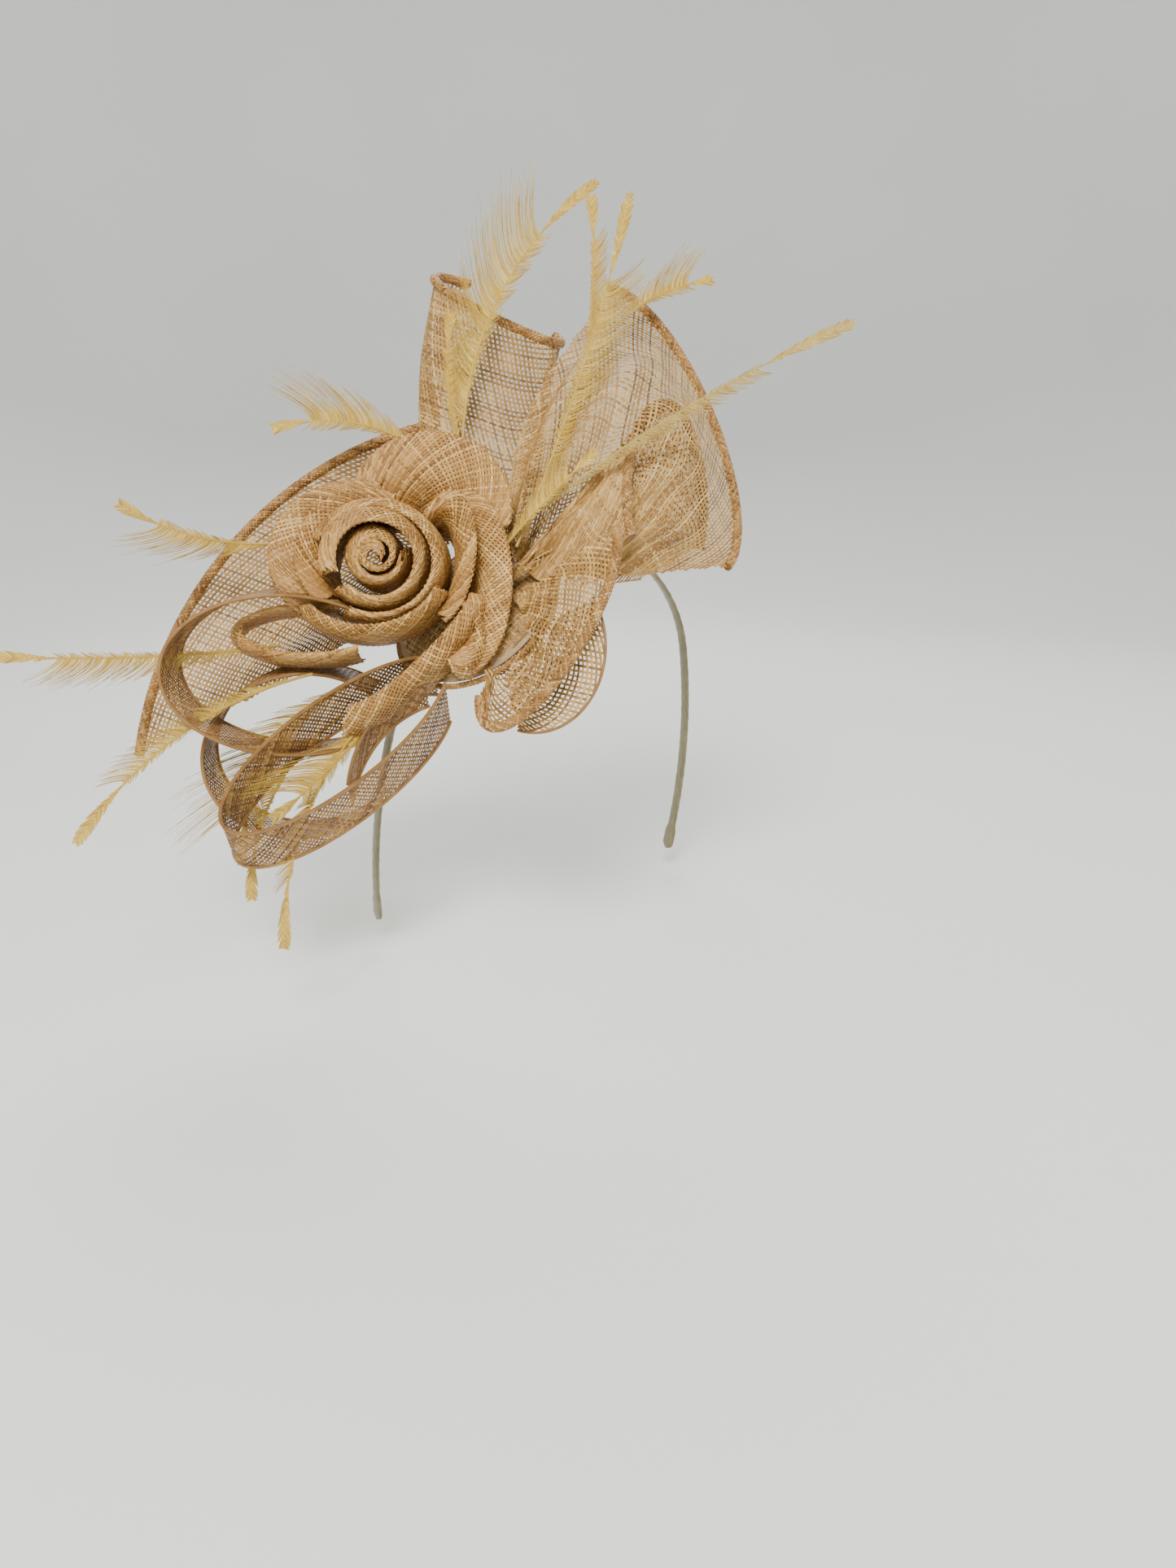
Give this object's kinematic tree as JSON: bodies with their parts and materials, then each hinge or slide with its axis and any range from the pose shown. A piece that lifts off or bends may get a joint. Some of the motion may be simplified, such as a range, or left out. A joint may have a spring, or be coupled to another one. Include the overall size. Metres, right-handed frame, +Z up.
{
  "type": "fascinator headpiece",
  "caption": "Open-weave ruffled fascinator with a folded rose, strip loops and feathers, sewn to a domed base on a narrow sprung headband.",
  "frame": {"origin": "underside of the headband's crown, on its centreline, where it rests on the top of the head", "axes": "+Z up, the wearer faces -Y, and the rose is on the wearer's right, at -X"},
  "size_m": [0.3198, 0.1759, 0.3209],
  "materials": {
    "satin": "satin ribbon wrapped round a sprung core",
    "felt": "matt felt",
    "thread": "waxed thread",
    "base_cloth": "stiffened double weave",
    "sinamay": "stiffened open plain weave, straw-like",
    "rolled_hem": "rolled bias edge over fine wire",
    "strip_cloth": "bias strip, stiffened",
    "petal_cloth": "folded bias strip, stiffened",
    "feather": "dyed feather, soft sheen",
    "feather_gold": "dyed feather, soft sheen"
  },
  "bodies": {
    "root": {"band_crown": "satin", "base_dome": "base_cloth", "base_binding": "base_cloth", "band_patch": "felt", "band_stitches": "thread", "brim": "sinamay", "brim_hem": "rolled_hem", "lobe_left": "sinamay", "lobe_left_hem": "rolled_hem", "lobe_right": "sinamay", "lobe_right_hem": "rolled_hem", "fold_right": "sinamay", "fold_right_hem": "rolled_hem", "lobe_lower": "sinamay", "lobe_lower_hem": "rolled_hem", "lobe_under": "sinamay", "loop_upper": "strip_cloth", "loop_back": "strip_cloth", "loop_lower": "strip_cloth", "loop_inner": "strip_cloth", "rose_heart": "petal_cloth", "petal_coil_inner": "petal_cloth", "petal_coil_outer": "petal_cloth", "petal_left_inner": "petal_cloth", "petal_left_outer": "petal_cloth", "petal_top": "petal_cloth", "petal_roll": "petal_cloth", "petal_right": "petal_cloth", "petal_bud": "petal_cloth", "petal_front": "petal_cloth", "petal_fold": "petal_cloth", "petal_bottom": "petal_cloth", "feather_1": "feather", "feather_2": "feather", "feather_3": "feather", "feather_4": "feather", "feather_5": "feather", "feather_6": "feather", "feather_7": "feather", "feather_8": "feather", "feather_9": "feather", "feather_10": "feather", "feather_11": "feather", "feather_12": "feather", "feather_13": "feather", "feather_14": "feather_gold", "feather_15": "feather"},
    "arm_right": {"band_arm_right": "satin", "band_tip_right": "satin"},
    "arm_left": {"band_arm_left": "satin", "band_tip_left": "satin"}
  },
  "joints": [
    {"name": "flex_right", "type": "hinge", "parent": "root", "child": "arm_right", "pos_m": [-0.07727, 0.01012, -0.05741], "axis": [0, 0.9848, 0.1736], "range_deg": [-5, 8], "stiffness_Nm_per_rad": 1.5},
    {"name": "flex_left", "type": "hinge", "parent": "root", "child": "arm_left", "pos_m": [0.07727, 0.01012, -0.05741], "axis": [0, -0.9848, -0.1736], "range_deg": [-5, 8], "stiffness_Nm_per_rad": 1.5}
  ]
}
